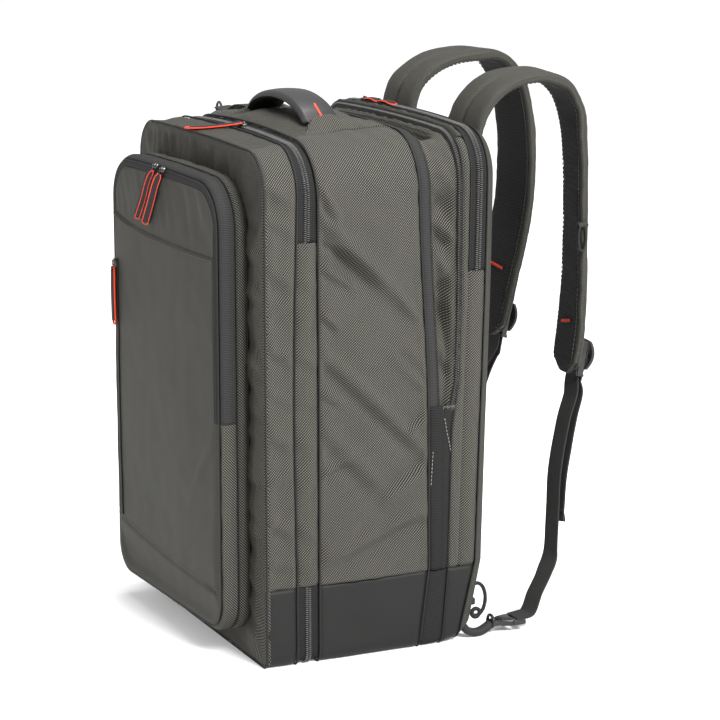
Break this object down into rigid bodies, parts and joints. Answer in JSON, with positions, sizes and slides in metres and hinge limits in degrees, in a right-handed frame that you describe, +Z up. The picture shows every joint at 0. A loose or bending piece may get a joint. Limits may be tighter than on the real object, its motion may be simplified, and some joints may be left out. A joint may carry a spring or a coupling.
{
  "type": "travel backpack",
  "caption": "Soft travel backpack standing on its base, with a front zip pocket, an open expansion gusset, a moulded top handle and padded shoulder straps.",
  "frame": {"origin": "middle of the flat base of the bag, on the floor it stands on", "axes": "+Z up; the front pocket faces -Y; the back panel and the shoulder straps are at +Y; X runs across the bag"},
  "size_m": [0.3274, 0.4377, 0.5521],
  "materials": {
    "twill_fabric": "matte heavy twill weave",
    "smooth_fabric": "smooth close weave with a slight sheen",
    "zip_tape": "dark woven zip tape and nylon coil",
    "coated_fabric": "matte coated fabric",
    "handle_rubber": "satin moulded rubber",
    "orange_cord": "moulded cord, black core with orange edges",
    "webbing": "ribbed black webbing",
    "spacer_mesh": "black spacer mesh",
    "black_plastic": "moulded black plastic, slightly glossy"
  },
  "bodies": {
    "root": {"back_edging": "smooth_fabric", "back_panel": "spacer_mesh", "base_panel": "coated_fabric", "expansion_flap_base": "zip_tape", "expansion_flap_left": "zip_tape", "expansion_flap_right": "zip_tape", "expansion_gusset": "twill_fabric", "expansion_tape": "zip_tape", "expansion_zip": "zip_tape", "foot_loop_left": "webbing", "foot_loop_right": "webbing", "front_section": "twill_fabric", "front_zip": "zip_tape", "front_zip_base": "zip_tape", "front_zip_patch_left": "twill_fabric", "front_zip_patch_right": "twill_fabric", "front_zip_pull": "orange_cord", "grab_handle": "handle_rubber", "handle_inlay": "orange_cord", "ladder_lock_left": "black_plastic", "ladder_lock_right": "black_plastic", "main_section": "twill_fabric", "pad_ring": "black_plastic", "pad_tack_left": "orange_cord", "pad_tack_right": "orange_cord", "pocket_face": "smooth_fabric", "pocket_gusset": "twill_fabric", "pocket_lower_side": "twill_fabric", "pocket_pull_a": "orange_cord", "pocket_pull_b": "orange_cord", "pocket_zip": "zip_tape", "rear_base_panel": "coated_fabric", "rear_section": "twill_fabric", "rear_zip": "zip_tape", "rear_zip_patch_left": "twill_fabric", "rear_zip_patch_right": "twill_fabric", "rear_zip_pull_a": "orange_cord", "rear_zip_pull_b": "orange_cord", "ring_tab_left": "webbing", "ring_tab_right": "webbing", "shoulder_pad_left": "smooth_fabric", "shoulder_pad_right": "smooth_fabric", "side_ring_left": "black_plastic", "side_ring_right": "black_plastic", "side_zip": "zip_tape", "side_zip_pull": "orange_cord", "strap_hook_left": "black_plastic", "strap_hook_right": "black_plastic", "strap_webbing_left": "webbing", "strap_webbing_right": "webbing", "tab_ring": "black_plastic", "top_tab": "webbing", "webbing_tail_left": "webbing", "webbing_tail_right": "webbing"}
  },
  "joints": []
}
